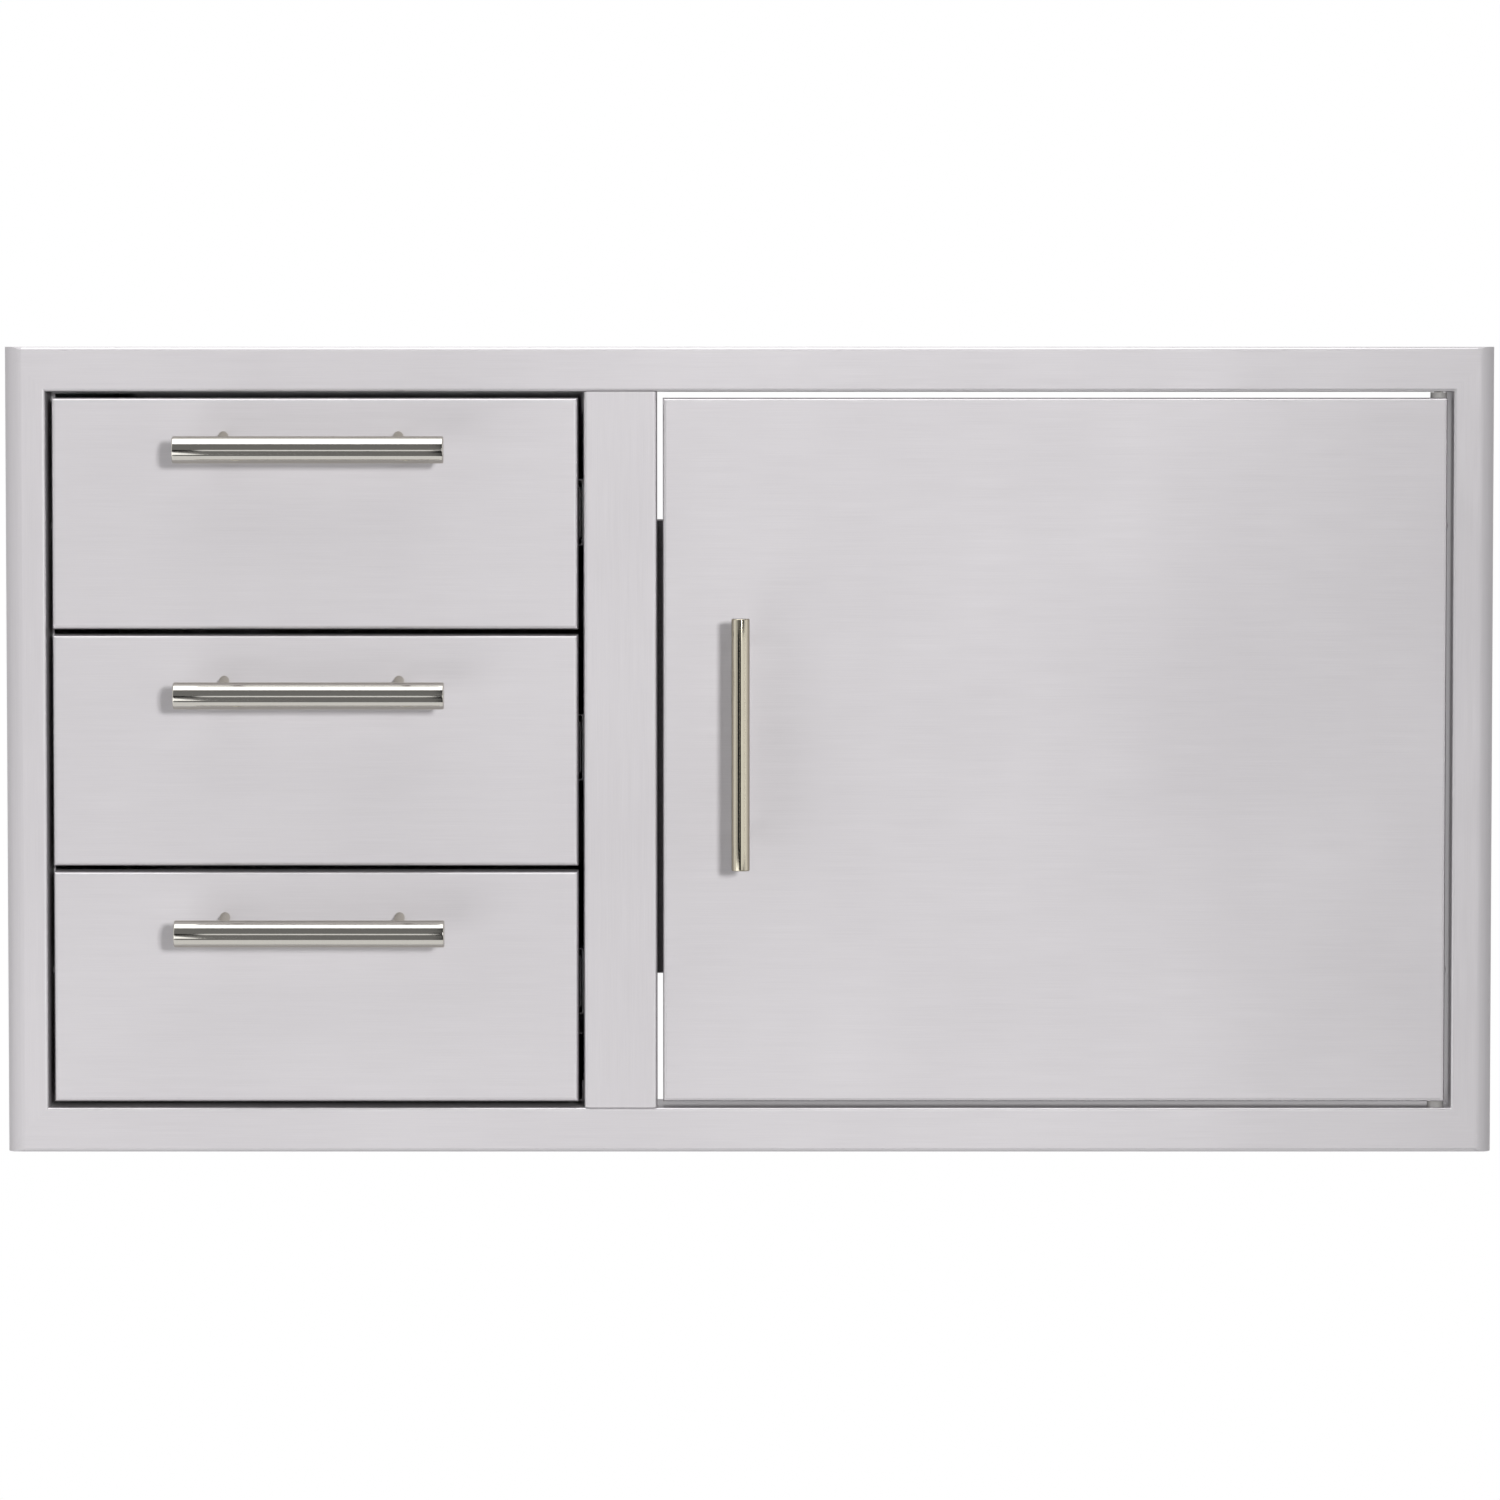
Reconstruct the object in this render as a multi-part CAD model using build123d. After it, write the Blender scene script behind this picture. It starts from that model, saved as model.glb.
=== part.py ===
from build123d import *
from math import atan2, degrees
import os

# Door and three-drawer combo for an outdoor kitchen island, in millimetres.
# A raised stainless frame fills a cut-out in the island. Three drawers on telescopic ball slides run in a
# closed cabinet on the left, and a pivot-hung door closes the open storage space on the right.
# +X is right, +Y goes into the island, +Z is up. The origin is the cut-out's middle on the wall's face.

# Face frame
FRAME_WIDTH = 997.0
FRAME_HEIGHT = 540.0
STILE_WIDTH = 28.0
RAIL_HEIGHT = 30.0
FRAME_PROUD = 30.0  # the frame's face stands this far in front of the wall
FRAME_RETURN = 25.0  # the opening's inner walls reach this far behind the wall's face
WALL_LIP = 15.0  # width of the lip that lies on the wall
ROLL_RADIUS = 12.0  # rolled left and right edges
SHEET = 1.2
BEND_RADIUS = 2.5  # outside radius of a tight fold
FRAME_SCREW_HOLE = 5.0
FRAME_SCREW_DEPTH = 7.0  # hole centres behind the wall's face
FRAME_SCREW_SPACING = 300.0

# Drawers, mullion and door fill the frame's opening
GAP = 4.0
DRAWER_COUNT = 3
DRAWER_FRONT_WIDTH = 351.5
MULLION_WIDTH = 49.0
FRONT_THICKNESS = 22.0
LINER_FLANGE = 10.0

# Cabinet round the drawers
CABINET_FRONT = 12.0  # the cabinet starts this far behind the wall's face
CABINET_FLANGE = 14.0
SLIDE_SETBACK = 14.0
SLIDE_REAR_ROOM = 19.0

# Drawer trays
TRAY_LIFT = 14.0  # tray floor above the front's lower edge
TRAY_DROP = 26.0  # tray rim below the front's upper edge
TRAY_RIM = 9.0
TRAY_BACK_INSET = 6.0
TRAY_FLOOR_BEAD = 2.0  # height of the pressed ridge round the tray's floor
TRAY_BEAD_MARGIN = 40.0

# Telescopic slides
SLIDE_LENGTH = 457.0
SLIDE_HEIGHT = 45.0
SLIDE_WIDTH = 12.7
SLIDE_SHEET = 1.0
SLIDE_CORNER = 1.2  # slanted corner between a channel's web and its ball track
SLIDE_LIP = 3.0
BALL = 3.2
BALL_PLAY = 0.15
CAGE_SHEET = 0.4
CAGE_PLAY = 0.25
CAGE_END_ROOM = 4.0
BALLS_PER_ROW = 5
BALL_POCKET_PLAY = 0.2
INNER_LIP_PLAY = 0.3

# Handles: a round bar on two posts
POST_DIAMETER = 7.0
HANDLE_STANDOFF = 32.0  # from the front's face to the bar's axis
BAR_EDGE = 1.0
DRAWER_BAR = 18.0
DRAWER_BAR_LENGTH = 180.0
DRAWER_POST_SPACING = 117.0
DRAWER_HANDLE_SHIFT = -2.5  # bar's middle beside the front's middle
DRAWER_POST_RISE = 8.5  # the posts' feet on the drawer's face lie this far above the bar's axis
TOP_HANDLE_DROP = 34.5  # bar axis below the top drawer's upper edge
DRAWER_HANDLE_DROP = 39.3  # bar axis below the other drawers' upper edges
DOOR_BAR = 12.0
DOOR_BAR_LENGTH = 168.0
DOOR_POST_SPACING = 128.0
DOOR_HANDLE_INSET = 52.0  # bar axis from the door's free edge
DOOR_HANDLE_RISE = 5.4  # bar middle above the frame's middle

# Door hinges: a pin through the frame's return turns in a nylon bush in the door
HINGE_INSET = 5.5  # axis from the door's edge
HINGE_SETBACK = 7.0  # axis behind the door's face
HINGE_PIN = 6.0
HINGE_PIN_HEAD = 10.0
HINGE_PIN_HEAD_HEIGHT = 2.5
HINGE_BORE_PLAY = 0.05  # radial
HINGE_BUSH = 8.4
HINGE_BUSH_FLANGE = 11.0
HINGE_BUSH_DEPTH = 12.0
HINGE_END_PLAY = 0.3
HINGE_PLATE_LENGTH = 40.0
HINGE_PLATE_DEPTH = 20.0
HINGE_PLATE_SHEET = 3.0
HINGE_PLATE_PLAY = 0.3

# Magnetic catch behind the door's free edge
CATCH_HEIGHT = 306.0
CATCH_RISE = 1.4  # catch's middle above the frame's middle
CATCH_OVERLAP = 15.0  # how far the bracket reaches behind the door
CATCH_ROOT = 12.0  # bracket leg on the mullion
MAGNET_THICKNESS = 4.0
MAGNET_INSET = 1.0
MAGNET_AIR_GAP = 0.3

# Planes that the pieces share
face_y = -FRAME_PROUD
front_back_y = face_y + FRONT_THICKNESS
opening_right = FRAME_WIDTH / 2 - STILE_WIDTH
opening_left = -opening_right
opening_top = FRAME_HEIGHT / 2 - RAIL_HEIGHT
drawer_left = opening_left + GAP
drawer_right = drawer_left + DRAWER_FRONT_WIDTH
mullion_left = drawer_right + GAP
mullion_right = mullion_left + MULLION_WIDTH
door_left = mullion_right + GAP
door_right = opening_right - GAP
door_top = opening_top - GAP
bay_left = opening_left + SHEET
bay_right = mullion_left - SHEET
drawer_pitch = (2 * opening_top - GAP) / DRAWER_COUNT
drawer_front_height = drawer_pitch - GAP
slide_rear = SLIDE_SETBACK + SLIDE_LENGTH
cabinet_rear = slide_rear + SLIDE_REAR_ROOM
tray_left = bay_left + SLIDE_WIDTH
tray_right = bay_right - SLIDE_WIDTH
tray_rear = slide_rear - TRAY_BACK_INSET
hinge_x = door_right - HINGE_INSET
hinge_y = face_y + HINGE_SETBACK
bend_inside = BEND_RADIUS - SHEET

# Slide members across the slide, from the cabinet wall towards the drawer
outer_cage_across = SLIDE_SHEET + CAGE_PLAY
middle_across = outer_cage_across + CAGE_SHEET + CAGE_PLAY
inner_cage_across = middle_across + SLIDE_SHEET + CAGE_PLAY
inner_across = inner_cage_across + CAGE_SHEET + CAGE_PLAY
outer_ball_across = middle_across + BALL / 2
inner_ball_across = inner_across + SLIDE_SHEET + BALL_PLAY + BALL / 2
outer_depth = outer_ball_across + BALL / 2 + BALL_PLAY + SLIDE_SHEET
middle_depth = inner_ball_across + BALL / 2 + BALL_PLAY + SLIDE_SHEET

# Slide members up the slide, from its centre line
ball_room = BALL + 2 * BALL_PLAY
outer_half = SLIDE_HEIGHT / 2
middle_half = outer_half - SLIDE_SHEET - ball_room
inner_half = middle_half - SLIDE_SHEET - ball_room
outer_ball_up = middle_half + ball_room / 2
inner_ball_up = inner_half + ball_room / 2
cage_length = SLIDE_LENGTH / 2 - 2 * CAGE_END_ROOM
cage_front = SLIDE_SETBACK + (SLIDE_LENGTH - cage_length) / 2


def block(x0, x1, y0, y1, z0, z1):
    """Box between two corners."""
    return Pos(x0, y0, z0) * Box(x1 - x0, y1 - y0, z1 - z0, align=(Align.MIN, Align.MIN, Align.MIN))


def rod_along(axis, x, y, z, diameter, length):
    """Round rod from a point, for a length along X, Y or Z."""
    turn = {"X": (0, 90, 0), "Y": (-90, 0, 0), "Z": (0, 0, 0)}[axis]
    return Pos(x, y, z) * Rot(*turn) * Cylinder(
        diameter / 2, length, align=(Align.CENTER, Align.CENTER, Align.MIN)
    )


def sheet_faces(corners, sheet):
    """The corners of a bent sheet's two faces, and whether the sheet turns left at each inner corner.

    The given corners run along one face, with the metal on their left. The other face's corners lie on the
    bisectors of the bends, so that the sheet keeps its thickness.
    """
    corners = [Vector(*corner) for corner in corners]
    lefts = [Vector(a.Y - b.Y, b.X - a.X).normalized() for a, b in zip(corners, corners[1:])]
    other = [corners[0] + lefts[0] * sheet]
    turns = []
    for corner, before, after in zip(corners[1:], lefts, lefts[1:]):
        other.append(corner + (before + after) * (sheet / (1 + before.dot(after))))
        turns.append(before.cross(after).Z > 0)
    other.append(corners[-1] + lefts[-1] * sheet)
    return corners, other, turns


def folded_section(corners, sheet, inside):
    """Cross-section of a sheet with round folds, whose inner radius is given."""
    corners, other, turns = sheet_faces(corners, sheet)
    line = FilletPolyline(*corners, radius=[inside + sheet * left for left in turns])
    other_line = FilletPolyline(*other, radius=[inside + sheet * (not left) for left in turns])
    start = Line(line @ 0, other_line @ 0)
    end = Line(line @ 1, other_line @ 1)
    return make_face(line.edges() + other_line.edges() + start.edges() + end.edges())


def creased_section(corners, sheet):
    """Cross-section of a sheet with sharp creases."""
    corners, other, _ = sheet_faces(corners, sheet)
    return make_face(Polyline(*corners, *other[::-1], close=True).edges())


def along_x(section, start, end):
    """Section drawn in Y and Z, drawn out along X."""
    return extrude(Plane.YZ.offset(start) * section, amount=end - start)


def along_y(section, start, end):
    """Section drawn in X and Z, drawn out along Y."""
    return extrude(Plane.XZ.offset(-start) * section, amount=start - end)


def along_z(section, start, end):
    """Section drawn in X and Y, drawn out along Z."""
    return extrude(Plane.XY.offset(start) * section, amount=end - start)


def rolled_block(inset, rear_y):
    """Front block of the frame, inset from its outer faces: large side rolls, tight upper and lower folds."""
    half_width = FRAME_WIDTH / 2 - inset
    half_height = FRAME_HEIGHT / 2 - inset
    bounds = (-half_width, half_width, face_y + inset, rear_y, -half_height, half_height)
    rolled = block(*bounds)
    rolled = fillet(rolled.edges().filter_by(Axis.Z).group_by(Axis.Y)[0], ROLL_RADIUS - inset)
    folded = block(*bounds)
    folded = fillet(folded.edges().filter_by(Axis.X).group_by(Axis.Y)[0], BEND_RADIUS - inset)
    return rolled & folded


def opening_block(grow, y0, y1):
    """The frame's opening between two depths, grown on every side."""
    return block(
        opening_left - grow, opening_right + grow, y0, y1, -opening_top - grow, opening_top + grow
    )


def face_frame():
    """Hollow raised frame with a lip on the wall and returns into the cut-out."""
    shell = rolled_block(0, 0) - rolled_block(SHEET, -SHEET)
    lip_window = block(
        WALL_LIP - FRAME_WIDTH / 2,
        FRAME_WIDTH / 2 - WALL_LIP,
        -2 * SHEET,
        SHEET,
        WALL_LIP - FRAME_HEIGHT / 2,
        FRAME_HEIGHT / 2 - WALL_LIP,
    )
    returns = opening_block(SHEET, face_y, FRAME_RETURN)
    frame = shell - lip_window + returns - opening_block(0, face_y - SHEET, FRAME_RETURN + SHEET)
    rim = [
        edge
        for edge in frame.edges()
        if abs(edge.center().Y - face_y) < SHEET / 2
        and abs(edge.center().X) < opening_right + SHEET
        and abs(edge.center().Z) < opening_top + SHEET
    ]
    frame = fillet(rim, BEND_RADIUS)
    for z in (-FRAME_SCREW_SPACING / 2, FRAME_SCREW_SPACING / 2):
        across = 2 * (opening_right + SHEET)
        frame -= rod_along("X", -across / 2, FRAME_SCREW_DEPTH, z, FRAME_SCREW_HOLE, across)
    height = 2 * (opening_top + SHEET)
    return frame - rod_along("Z", hinge_x, hinge_y, -height / 2, HINGE_PIN, height)


def center_mullion():
    """Channel between the drawers and the door, with a deep wing that carries the cabinet."""
    section = folded_section(
        [
            (mullion_left, FRAME_RETURN),
            (mullion_left, face_y),
            (mullion_right, face_y),
            (mullion_right, front_back_y),
        ],
        SHEET,
        bend_inside,
    )
    return along_z(section, -opening_top, opening_top)


def cabinet_side(wall_x, inward):
    """Side sheet from a point on its outer face, with a rear flange that turns inward."""
    section = creased_section(
        [(0, CABINET_FRONT), (0, cabinet_rear), (-CABINET_FLANGE, cabinet_rear)], SHEET
    )
    side = along_z(section, -opening_top, opening_top)
    if inward > 0:
        side = mirror(side, about=Plane.YZ)
    return Pos(wall_x, 0, 0) * side


def cabinet_lid(upper):
    """Roof or floor sheet between the sides, with flanges that lie on them."""
    section = creased_section(
        [
            (bay_right, opening_top - CABINET_FLANGE),
            (bay_right, opening_top),
            (bay_left, opening_top),
            (bay_left, opening_top - CABINET_FLANGE),
        ],
        SHEET,
    )
    lid = along_y(section, CABINET_FRONT, cabinet_rear - SHEET)
    return lid if upper else mirror(lid, about=Plane.XY)


def cabinet_back():
    """Flat sheet on the sides' rear flanges."""
    return block(opening_left, mullion_left, cabinet_rear, cabinet_rear + SHEET, -opening_top, opening_top)


def front_pan(left, right, bottom, top):
    """Outer skin of a door or drawer front: a pan with four returns, open at the back."""
    outer = block(left, right, face_y, front_back_y, bottom, top)
    outer = fillet(outer.edges().group_by(Axis.Y)[0], BEND_RADIUS)
    inner = block(
        left + SHEET, right - SHEET, face_y + SHEET, front_back_y + SHEET, bottom + SHEET, top - SHEET
    )
    inner = fillet(inner.edges().group_by(Axis.Y)[0], bend_inside)
    return outer - inner


def front_liner(left, right, bottom, top):
    """Inner panel of a door or drawer front: a shallow pan that fits inside the skin's returns."""
    outer = block(
        left + SHEET, right - SHEET, front_back_y - LINER_FLANGE, front_back_y, bottom + SHEET, top - SHEET
    )
    inner = block(
        left + 2 * SHEET,
        right - 2 * SHEET,
        front_back_y - LINER_FLANGE - SHEET,
        front_back_y - SHEET,
        bottom + 2 * SHEET,
        top - 2 * SHEET,
    )
    return outer - inner


def handle(bar_diameter, bar_length, post_spacing, post_rise):
    """Bar and posts of a handle that lies along X, with the front's face at Y = 0.

    The posts climb by the rise from the bar's axis to the face, where they are cut flat.
    """
    bar = rod_along("X", -bar_length / 2, -HANDLE_STANDOFF, 0, bar_diameter, bar_length)
    post = rod_along("Y", 0, 0, 0, POST_DIAMETER, 2 * HANDLE_STANDOFF)
    post = Pos(0, -HANDLE_STANDOFF, 0) * Rot(degrees(atan2(post_rise, HANDLE_STANDOFF)), 0, 0) * post
    reach = POST_DIAMETER + post_rise
    post &= block(-reach, reach, -2 * HANDLE_STANDOFF, 0, -reach, reach)
    posts = [Pos(x, 0, 0) * post - bar for x in (-post_spacing / 2, post_spacing / 2)]
    return chamfer(bar.edges().filter_by(GeomType.CIRCLE), BAR_EDGE), posts


def hinge_plate():
    """Upper plate that stiffens the frame's return round the hinge pin."""
    front = face_y + SHEET + HINGE_PLATE_PLAY
    base = opening_top + SHEET
    plate = block(
        hinge_x - HINGE_PLATE_LENGTH + HINGE_INSET + GAP,
        hinge_x + HINGE_INSET + GAP,
        front,
        front + HINGE_PLATE_DEPTH,
        base,
        base + HINGE_PLATE_SHEET,
    )
    return plate - rod_along("Z", hinge_x, hinge_y, base, HINGE_PIN, HINGE_PLATE_SHEET)


def hinge_pin():
    """Upper pin: its head lies on the plate, and its end stands in the door's bush."""
    seat = opening_top + SHEET + HINGE_PLATE_SHEET
    end = door_top - HINGE_BUSH_DEPTH
    shank = rod_along("Z", hinge_x, hinge_y, end, HINGE_PIN, seat - end)
    return shank + rod_along("Z", hinge_x, hinge_y, seat, HINGE_PIN_HEAD, HINGE_PIN_HEAD_HEIGHT)


def hinge_bush(flange_height):
    """Upper bush: a flange in the gap over the door, and a sleeve down through the door's return."""
    bush = rod_along("Z", hinge_x, hinge_y, door_top - HINGE_BUSH_DEPTH, HINGE_BUSH, HINGE_BUSH_DEPTH)
    bush += rod_along("Z", hinge_x, hinge_y, door_top, HINGE_BUSH_FLANGE, flange_height)
    bore = HINGE_PIN + 2 * HINGE_BORE_PLAY
    length = HINGE_BUSH_DEPTH + flange_height
    return bush - rod_along("Z", hinge_x, hinge_y, door_top - HINGE_BUSH_DEPTH, bore, length)


def catch_bracket():
    """Angle on the mullion's inner face, with a leg that passes behind the door's free edge."""
    leg_y = front_back_y + MAGNET_AIR_GAP + MAGNET_THICKNESS
    section = creased_section(
        [
            (door_left + CATCH_OVERLAP, leg_y + SHEET),
            (mullion_right - 2 * SHEET, leg_y + SHEET),
            (mullion_right - 2 * SHEET, front_back_y - CATCH_ROOT),
        ],
        SHEET,
    )
    return along_z(section, CATCH_RISE - CATCH_HEIGHT / 2, CATCH_RISE + CATCH_HEIGHT / 2)


def magnet_strip():
    """Dark magnetic strip on the bracket's front, seen through the gap beside the door."""
    magnet_front = front_back_y + MAGNET_AIR_GAP
    return block(
        mullion_right - SHEET,
        door_left + CATCH_OVERLAP - MAGNET_INSET,
        magnet_front,
        magnet_front + MAGNET_THICKNESS,
        CATCH_RISE - CATCH_HEIGHT / 2 + MAGNET_INSET,
        CATCH_RISE + CATCH_HEIGHT / 2 - MAGNET_INSET,
    )


def lipped_channel(across, depth, half):
    """Slide channel that opens towards the drawer, with slanted corners and lips over its tracks."""
    upper = [
        (depth, half - SLIDE_LIP),
        (depth, half - SLIDE_CORNER),
        (depth - SLIDE_CORNER, half),
        (across + SLIDE_CORNER, half),
        (across, half - SLIDE_CORNER),
    ]
    lower = [(x, -z) for x, z in upper[::-1]]
    return along_y(creased_section(upper + lower, SLIDE_SHEET), SLIDE_SETBACK, slide_rear)


def inner_channel():
    """Slide channel on the drawer, which opens towards the cabinet, with lips turned out beside its balls."""
    lip = inner_across + SLIDE_SHEET
    lip_top = inner_ball_up - CAGE_SHEET / 2 - INNER_LIP_PLAY
    upper = [
        (SLIDE_WIDTH, inner_half - SLIDE_CORNER),
        (SLIDE_WIDTH - SLIDE_CORNER, inner_half),
        (lip, inner_half),
        (lip, lip_top),
    ]
    lower = [(x, -z) for x, z in upper[::-1]]
    return along_y(creased_section(lower + upper, SLIDE_SHEET), SLIDE_SETBACK, slide_rear)


def ball_cage(across, ball_across, ball_up):
    """Strip cage between two slide members: flanges at the balls' centres, a pocket for each ball."""
    flange_end = ball_across + BALL / 2
    half = ball_up + CAGE_SHEET / 2
    section = creased_section(
        [(flange_end, half), (across, half), (across, -half), (flange_end, -half)], CAGE_SHEET
    )
    cage = along_y(section, cage_front, cage_front + cage_length)
    pocket = BALL + 2 * BALL_POCKET_PLAY
    pitch = (cage_length - 2 * pocket) / (BALLS_PER_ROW - 1)
    for number in range(BALLS_PER_ROW):
        y = cage_front + pocket + number * pitch
        cage -= block(
            ball_across - pocket / 2, flange_end, y - pocket / 2, y + pocket / 2, -half, half
        )
    return cage


def left_and_right(member, z):
    """A slide member on the cabinet's left wall and its mirror image on the right wall."""
    return [Pos(bay_left, 0, z) * member, Pos(bay_right, 0, z) * mirror(member, about=Plane.YZ)]


def drawer_tray(bottom, top):
    """Folded tray floor and sides, with rims turned in and a pressed panel in the floor."""
    section = folded_section(
        [
            (tray_left + TRAY_RIM, top),
            (tray_left, top),
            (tray_left, bottom),
            (tray_right, bottom),
            (tray_right, top),
            (tray_right - TRAY_RIM, top),
        ],
        SHEET,
        bend_inside,
    )
    tray = along_y(section, front_back_y, tray_rear)
    panel = [
        tray_left + TRAY_BEAD_MARGIN,
        tray_right - TRAY_BEAD_MARGIN,
        front_back_y + TRAY_BEAD_MARGIN,
        tray_rear - TRAY_BEAD_MARGIN,
    ]
    tray += block(*panel, bottom + SHEET, bottom + SHEET + TRAY_FLOOR_BEAD)
    shrink = [SHEET, -SHEET, SHEET, -SHEET]
    hollow = [edge + step for edge, step in zip(panel, shrink)]
    return tray - block(*hollow, bottom - SHEET, bottom + TRAY_FLOOR_BEAD)


def tray_back(bottom, top):
    """Rear wall between the tray's sides, under their rims, with its upper edge folded forward.

    Its lower corners are cut to clear the tray's folds.
    """
    section = creased_section(
        [
            (tray_rear, bottom + SHEET),
            (tray_rear, top - BEND_RADIUS),
            (tray_rear - TRAY_RIM, top - BEND_RADIUS),
        ],
        SHEET,
    )
    wall = along_x(section, tray_left + SHEET, tray_right - SHEET)
    return chamfer(wall.edges().filter_by(Axis.Y).group_by(Axis.Z)[0], bend_inside)


def save(name, *solids):
    """Write one named node."""
    export_step(Compound(children=[solid.solid() for solid in solids]), f"parts/{name}.step")


def save_cabinet():
    """Everything that stays with the frame."""
    save("face_frame", face_frame())
    save("center_mullion", center_mullion())
    save("cabinet_left_side", cabinet_side(opening_left, 1))
    save("cabinet_right_side", cabinet_side(mullion_left, -1))
    save("cabinet_roof", cabinet_lid(True))
    save("cabinet_floor", cabinet_lid(False))
    save("cabinet_back", cabinet_back())
    save("door_catch_bracket", catch_bracket())
    save("door_magnet_strip", magnet_strip())
    save("hinge_plates", hinge_plate(), mirror(hinge_plate(), about=Plane.XY))
    save("hinge_pins", hinge_pin(), mirror(hinge_pin(), about=Plane.XY))


def save_door():
    """The door and what turns with it."""
    outline = (door_left, door_right, -door_top, door_top)
    seat = Pos(door_left + DOOR_HANDLE_INSET, face_y, DOOR_HANDLE_RISE) * Rot(0, 90, 0)
    bar, posts = handle(DOOR_BAR, DOOR_BAR_LENGTH, DOOR_POST_SPACING, 0)
    bush_holes = rod_along("Z", hinge_x, hinge_y, -door_top, HINGE_BUSH, 2 * door_top)
    save("door_skin", front_pan(*outline) - bush_holes)
    save("door_liner", front_liner(*outline))
    save("door_handle_bar", seat * bar)
    save("door_handle_posts", *[seat * post for post in posts])
    upper_bush = hinge_bush(GAP - HINGE_END_PLAY)
    lower_bush = mirror(hinge_bush(GAP), about=Plane.XY)
    save("door_hinge_bushes", upper_bush, lower_bush)


def save_drawer(number):
    """One drawer, counted from the top, with its pair of slides."""
    name = f"drawer_{number}"
    top = door_top - (number - 1) * drawer_pitch
    bottom = top - drawer_front_height
    outline = (drawer_left, drawer_right, bottom, top)
    drop = TOP_HANDLE_DROP if number == 1 else DRAWER_HANDLE_DROP
    seat = Pos((drawer_left + drawer_right) / 2 + DRAWER_HANDLE_SHIFT, face_y, top - drop)
    bar, posts = handle(DRAWER_BAR, DRAWER_BAR_LENGTH, DRAWER_POST_SPACING, DRAWER_POST_RISE)
    save(f"{name}_front_skin", front_pan(*outline))
    save(f"{name}_front_liner", front_liner(*outline))
    save(f"{name}_handle_bar", seat * bar)
    save(f"{name}_handle_posts", *[seat * post for post in posts])
    save(f"{name}_tray", drawer_tray(bottom + TRAY_LIFT, top - TRAY_DROP))
    save(f"{name}_tray_back", tray_back(bottom + TRAY_LIFT, top - TRAY_DROP))
    middle_z = (bottom + top) / 2
    slide_parts = {
        "slide_outer": lipped_channel(0, outer_depth, outer_half),
        "slide_outer_cages": ball_cage(outer_cage_across, outer_ball_across, outer_ball_up),
        "slide_middle": lipped_channel(middle_across, middle_depth, middle_half),
        "slide_inner_cages": ball_cage(inner_cage_across, inner_ball_across, inner_ball_up),
        "slide_inner": inner_channel(),
    }
    for part_name, member in slide_parts.items():
        save(f"{name}_{part_name}", *left_and_right(member, middle_z))


def main():
    os.makedirs("parts", exist_ok=True)
    save_cabinet()
    save_door()
    for number in range(1, DRAWER_COUNT + 1):
        save_drawer(number)


if __name__ == "__main__":
    main()
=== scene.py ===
# %% [markdown]
# # A door and drawer unit for an outdoor kitchen
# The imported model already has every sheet, joint and slide in its place. This lesson dresses it: a camera
# and a plain studio, a finish for each material, and the small turned and pressed pieces that the solids
# leave out. All lengths are in metres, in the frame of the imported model: X to the right, Y into the wall,
# Z up.

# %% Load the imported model
from math import radians

import bpy
import numpy as np
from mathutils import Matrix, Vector


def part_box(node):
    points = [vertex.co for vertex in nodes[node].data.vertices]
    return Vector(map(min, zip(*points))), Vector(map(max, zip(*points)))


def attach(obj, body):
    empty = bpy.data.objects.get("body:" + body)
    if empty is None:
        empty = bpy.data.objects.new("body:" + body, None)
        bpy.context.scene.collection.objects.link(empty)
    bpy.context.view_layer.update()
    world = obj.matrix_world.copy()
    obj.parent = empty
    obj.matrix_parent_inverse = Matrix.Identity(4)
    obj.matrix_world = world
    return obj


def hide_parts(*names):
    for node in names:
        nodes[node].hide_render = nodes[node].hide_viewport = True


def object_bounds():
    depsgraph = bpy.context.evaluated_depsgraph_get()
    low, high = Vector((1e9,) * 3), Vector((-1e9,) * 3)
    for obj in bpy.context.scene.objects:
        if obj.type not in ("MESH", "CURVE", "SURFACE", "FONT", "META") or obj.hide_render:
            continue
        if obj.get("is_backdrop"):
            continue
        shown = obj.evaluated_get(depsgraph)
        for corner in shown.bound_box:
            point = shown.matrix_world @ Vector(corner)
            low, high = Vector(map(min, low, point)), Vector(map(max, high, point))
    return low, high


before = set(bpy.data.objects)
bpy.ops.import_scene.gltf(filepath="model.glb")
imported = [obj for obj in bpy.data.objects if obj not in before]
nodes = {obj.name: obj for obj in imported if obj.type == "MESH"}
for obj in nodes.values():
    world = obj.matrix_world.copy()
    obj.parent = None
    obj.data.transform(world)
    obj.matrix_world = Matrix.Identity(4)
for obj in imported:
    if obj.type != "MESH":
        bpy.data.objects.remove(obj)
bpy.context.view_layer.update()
scene = bpy.context.scene

# %% [markdown]
# ## Camera
# The picture was taken from the front, a little above the middle: the upper edge of the frame looks 0.6
# percent wider than the lower one. A long lens far away, tipped three degrees down, gives just that. A short
# lens close by would fit the width too, but it would show far more of the gaps' inner sides. Only the lens
# and the film are measured in millimetres.

# %% Camera
lens_length, film_width = 165.77, 36.0
camera_place = (0.0003, -4.65, 0.2425)
tip_down = 3
camera_data = bpy.data.cameras.new("photo_camera")
camera_data.lens = lens_length
camera_data.sensor_width = film_width
camera = bpy.data.objects.new("photo_camera", camera_data)
camera.location = camera_place
camera.rotation_euler = (radians(90 - tip_down), 0, 0)
scene.collection.objects.link(camera)
scene.camera = camera
scene.view_settings.view_transform = "Standard"
print("camera", tuple(camera.location), "lens", camera_data.lens)


# %% [markdown]
# ## Node helper
# A finish is a small graph of nodes. Clicking one together takes many steps, so one helper adds a node and
# fills its sockets: a value is set on the socket, and another node's output is linked to it.

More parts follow.
